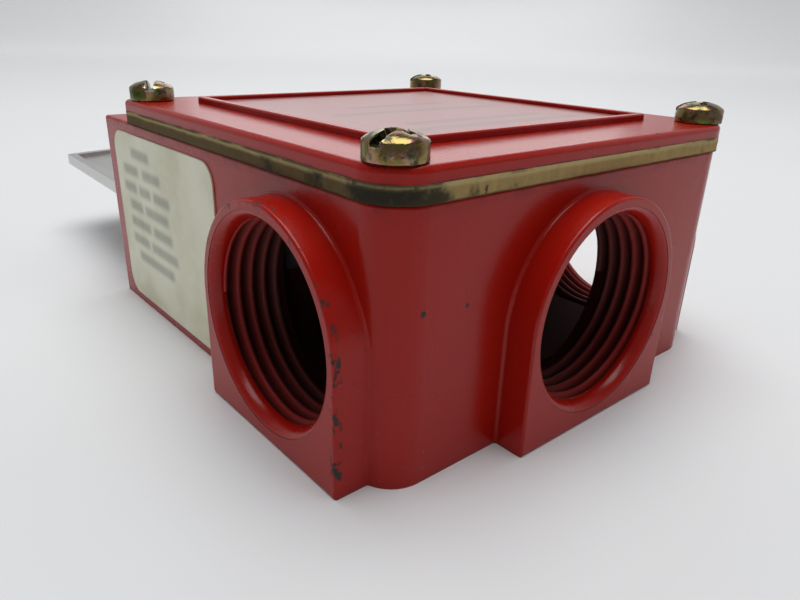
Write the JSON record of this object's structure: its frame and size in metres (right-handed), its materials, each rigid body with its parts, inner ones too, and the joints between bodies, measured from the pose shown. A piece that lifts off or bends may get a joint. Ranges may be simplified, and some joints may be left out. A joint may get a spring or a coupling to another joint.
{
  "type": "fire alarm station",
  "caption": "Red cast surface box with threaded conduit hubs on three sides, a screwed gasketed cover, and a steel pull lever out of one end that trips a snap switch.",
  "frame": {"origin": "centre of the box's rectangular back face, leaving out the hubs and the lever, on the plane of the wall it is fixed to", "axes": "+X across the box between the two side hubs, +Y along the box towards the pull lever, +Z out of the cover"},
  "size_m": [0.0724, 0.1334, 0.0383],
  "materials": {
    "red_enamel": "gloss enamel",
    "gasket": "compressed cork-rubber, grimy",
    "nameplate": "printed foil",
    "chromate_steel": "yellow zinc chromate on steel",
    "label": "aged printed vinyl",
    "bare_steel": "rolled steel",
    "zinc_steel": "zinc plated",
    "spring_steel": "oiled spring steel",
    "bronze": "sintered bronze",
    "black_plastic": "phenolic moulding",
    "plunger_plastic": "moulded acetal",
    "brass": "bright brass",
    "green_steel": "green passivated",
    "wire_insulation": "insulation"
  },
  "bodies": {
    "box": {"housing": "red_enamel", "gasket": "gasket", "rating_label": "label", "pin_bushings": "bronze", "pivot_blocks": "zinc_steel", "pivot_block_screws": "zinc_steel", "lever_spring": "spring_steel", "switch_case": "black_plastic", "switch_cover": "black_plastic", "switch_terminals": "brass", "switch_screws": "zinc_steel", "terminal_block": "black_plastic", "terminal_clamps": "brass", "terminal_screws": "brass", "terminal_block_screws": "zinc_steel", "earth_screw": "green_steel", "lead_wires": "wire_insulation"},
    "cover": {"cover": "red_enamel", "cover_nameplate": "nameplate", "cover_screws": "chromate_steel"},
    "lever": {"pull_lever": "bare_steel", "lever_arms": "bare_steel", "lever_arm_screws": "zinc_steel", "pivot_pin": "zinc_steel", "pin_clips": "spring_steel", "pin_spacers": "zinc_steel"},
    "plunger": {"switch_plunger": "plunger_plastic"}
  },
  "joints": [
    {"name": "lever_pull", "type": "hinge", "parent": "box", "child": "lever", "pos_m": [0, 0.019, 0.0105], "axis": [1, 0, 0], "range_deg": [0, 11], "stiffness_Nm_per_rad": 0.6, "springref_deg": -28.65, "deforming": ["lever_spring"]},
    {"name": "plunger_press", "type": "slide", "parent": "box", "child": "plunger", "axis": [0, -1, 0], "range_m": [0, 0.0021]},
    {"name": "cover_lift", "type": "slide", "parent": "box", "child": "cover", "axis": [0, 0, 1], "range_m": [0, 0.03]}
  ],
  "couplings": [
    {"joint": "plunger_press", "follows": "lever_pull", "m_per_rad": 0.010417}
  ]
}
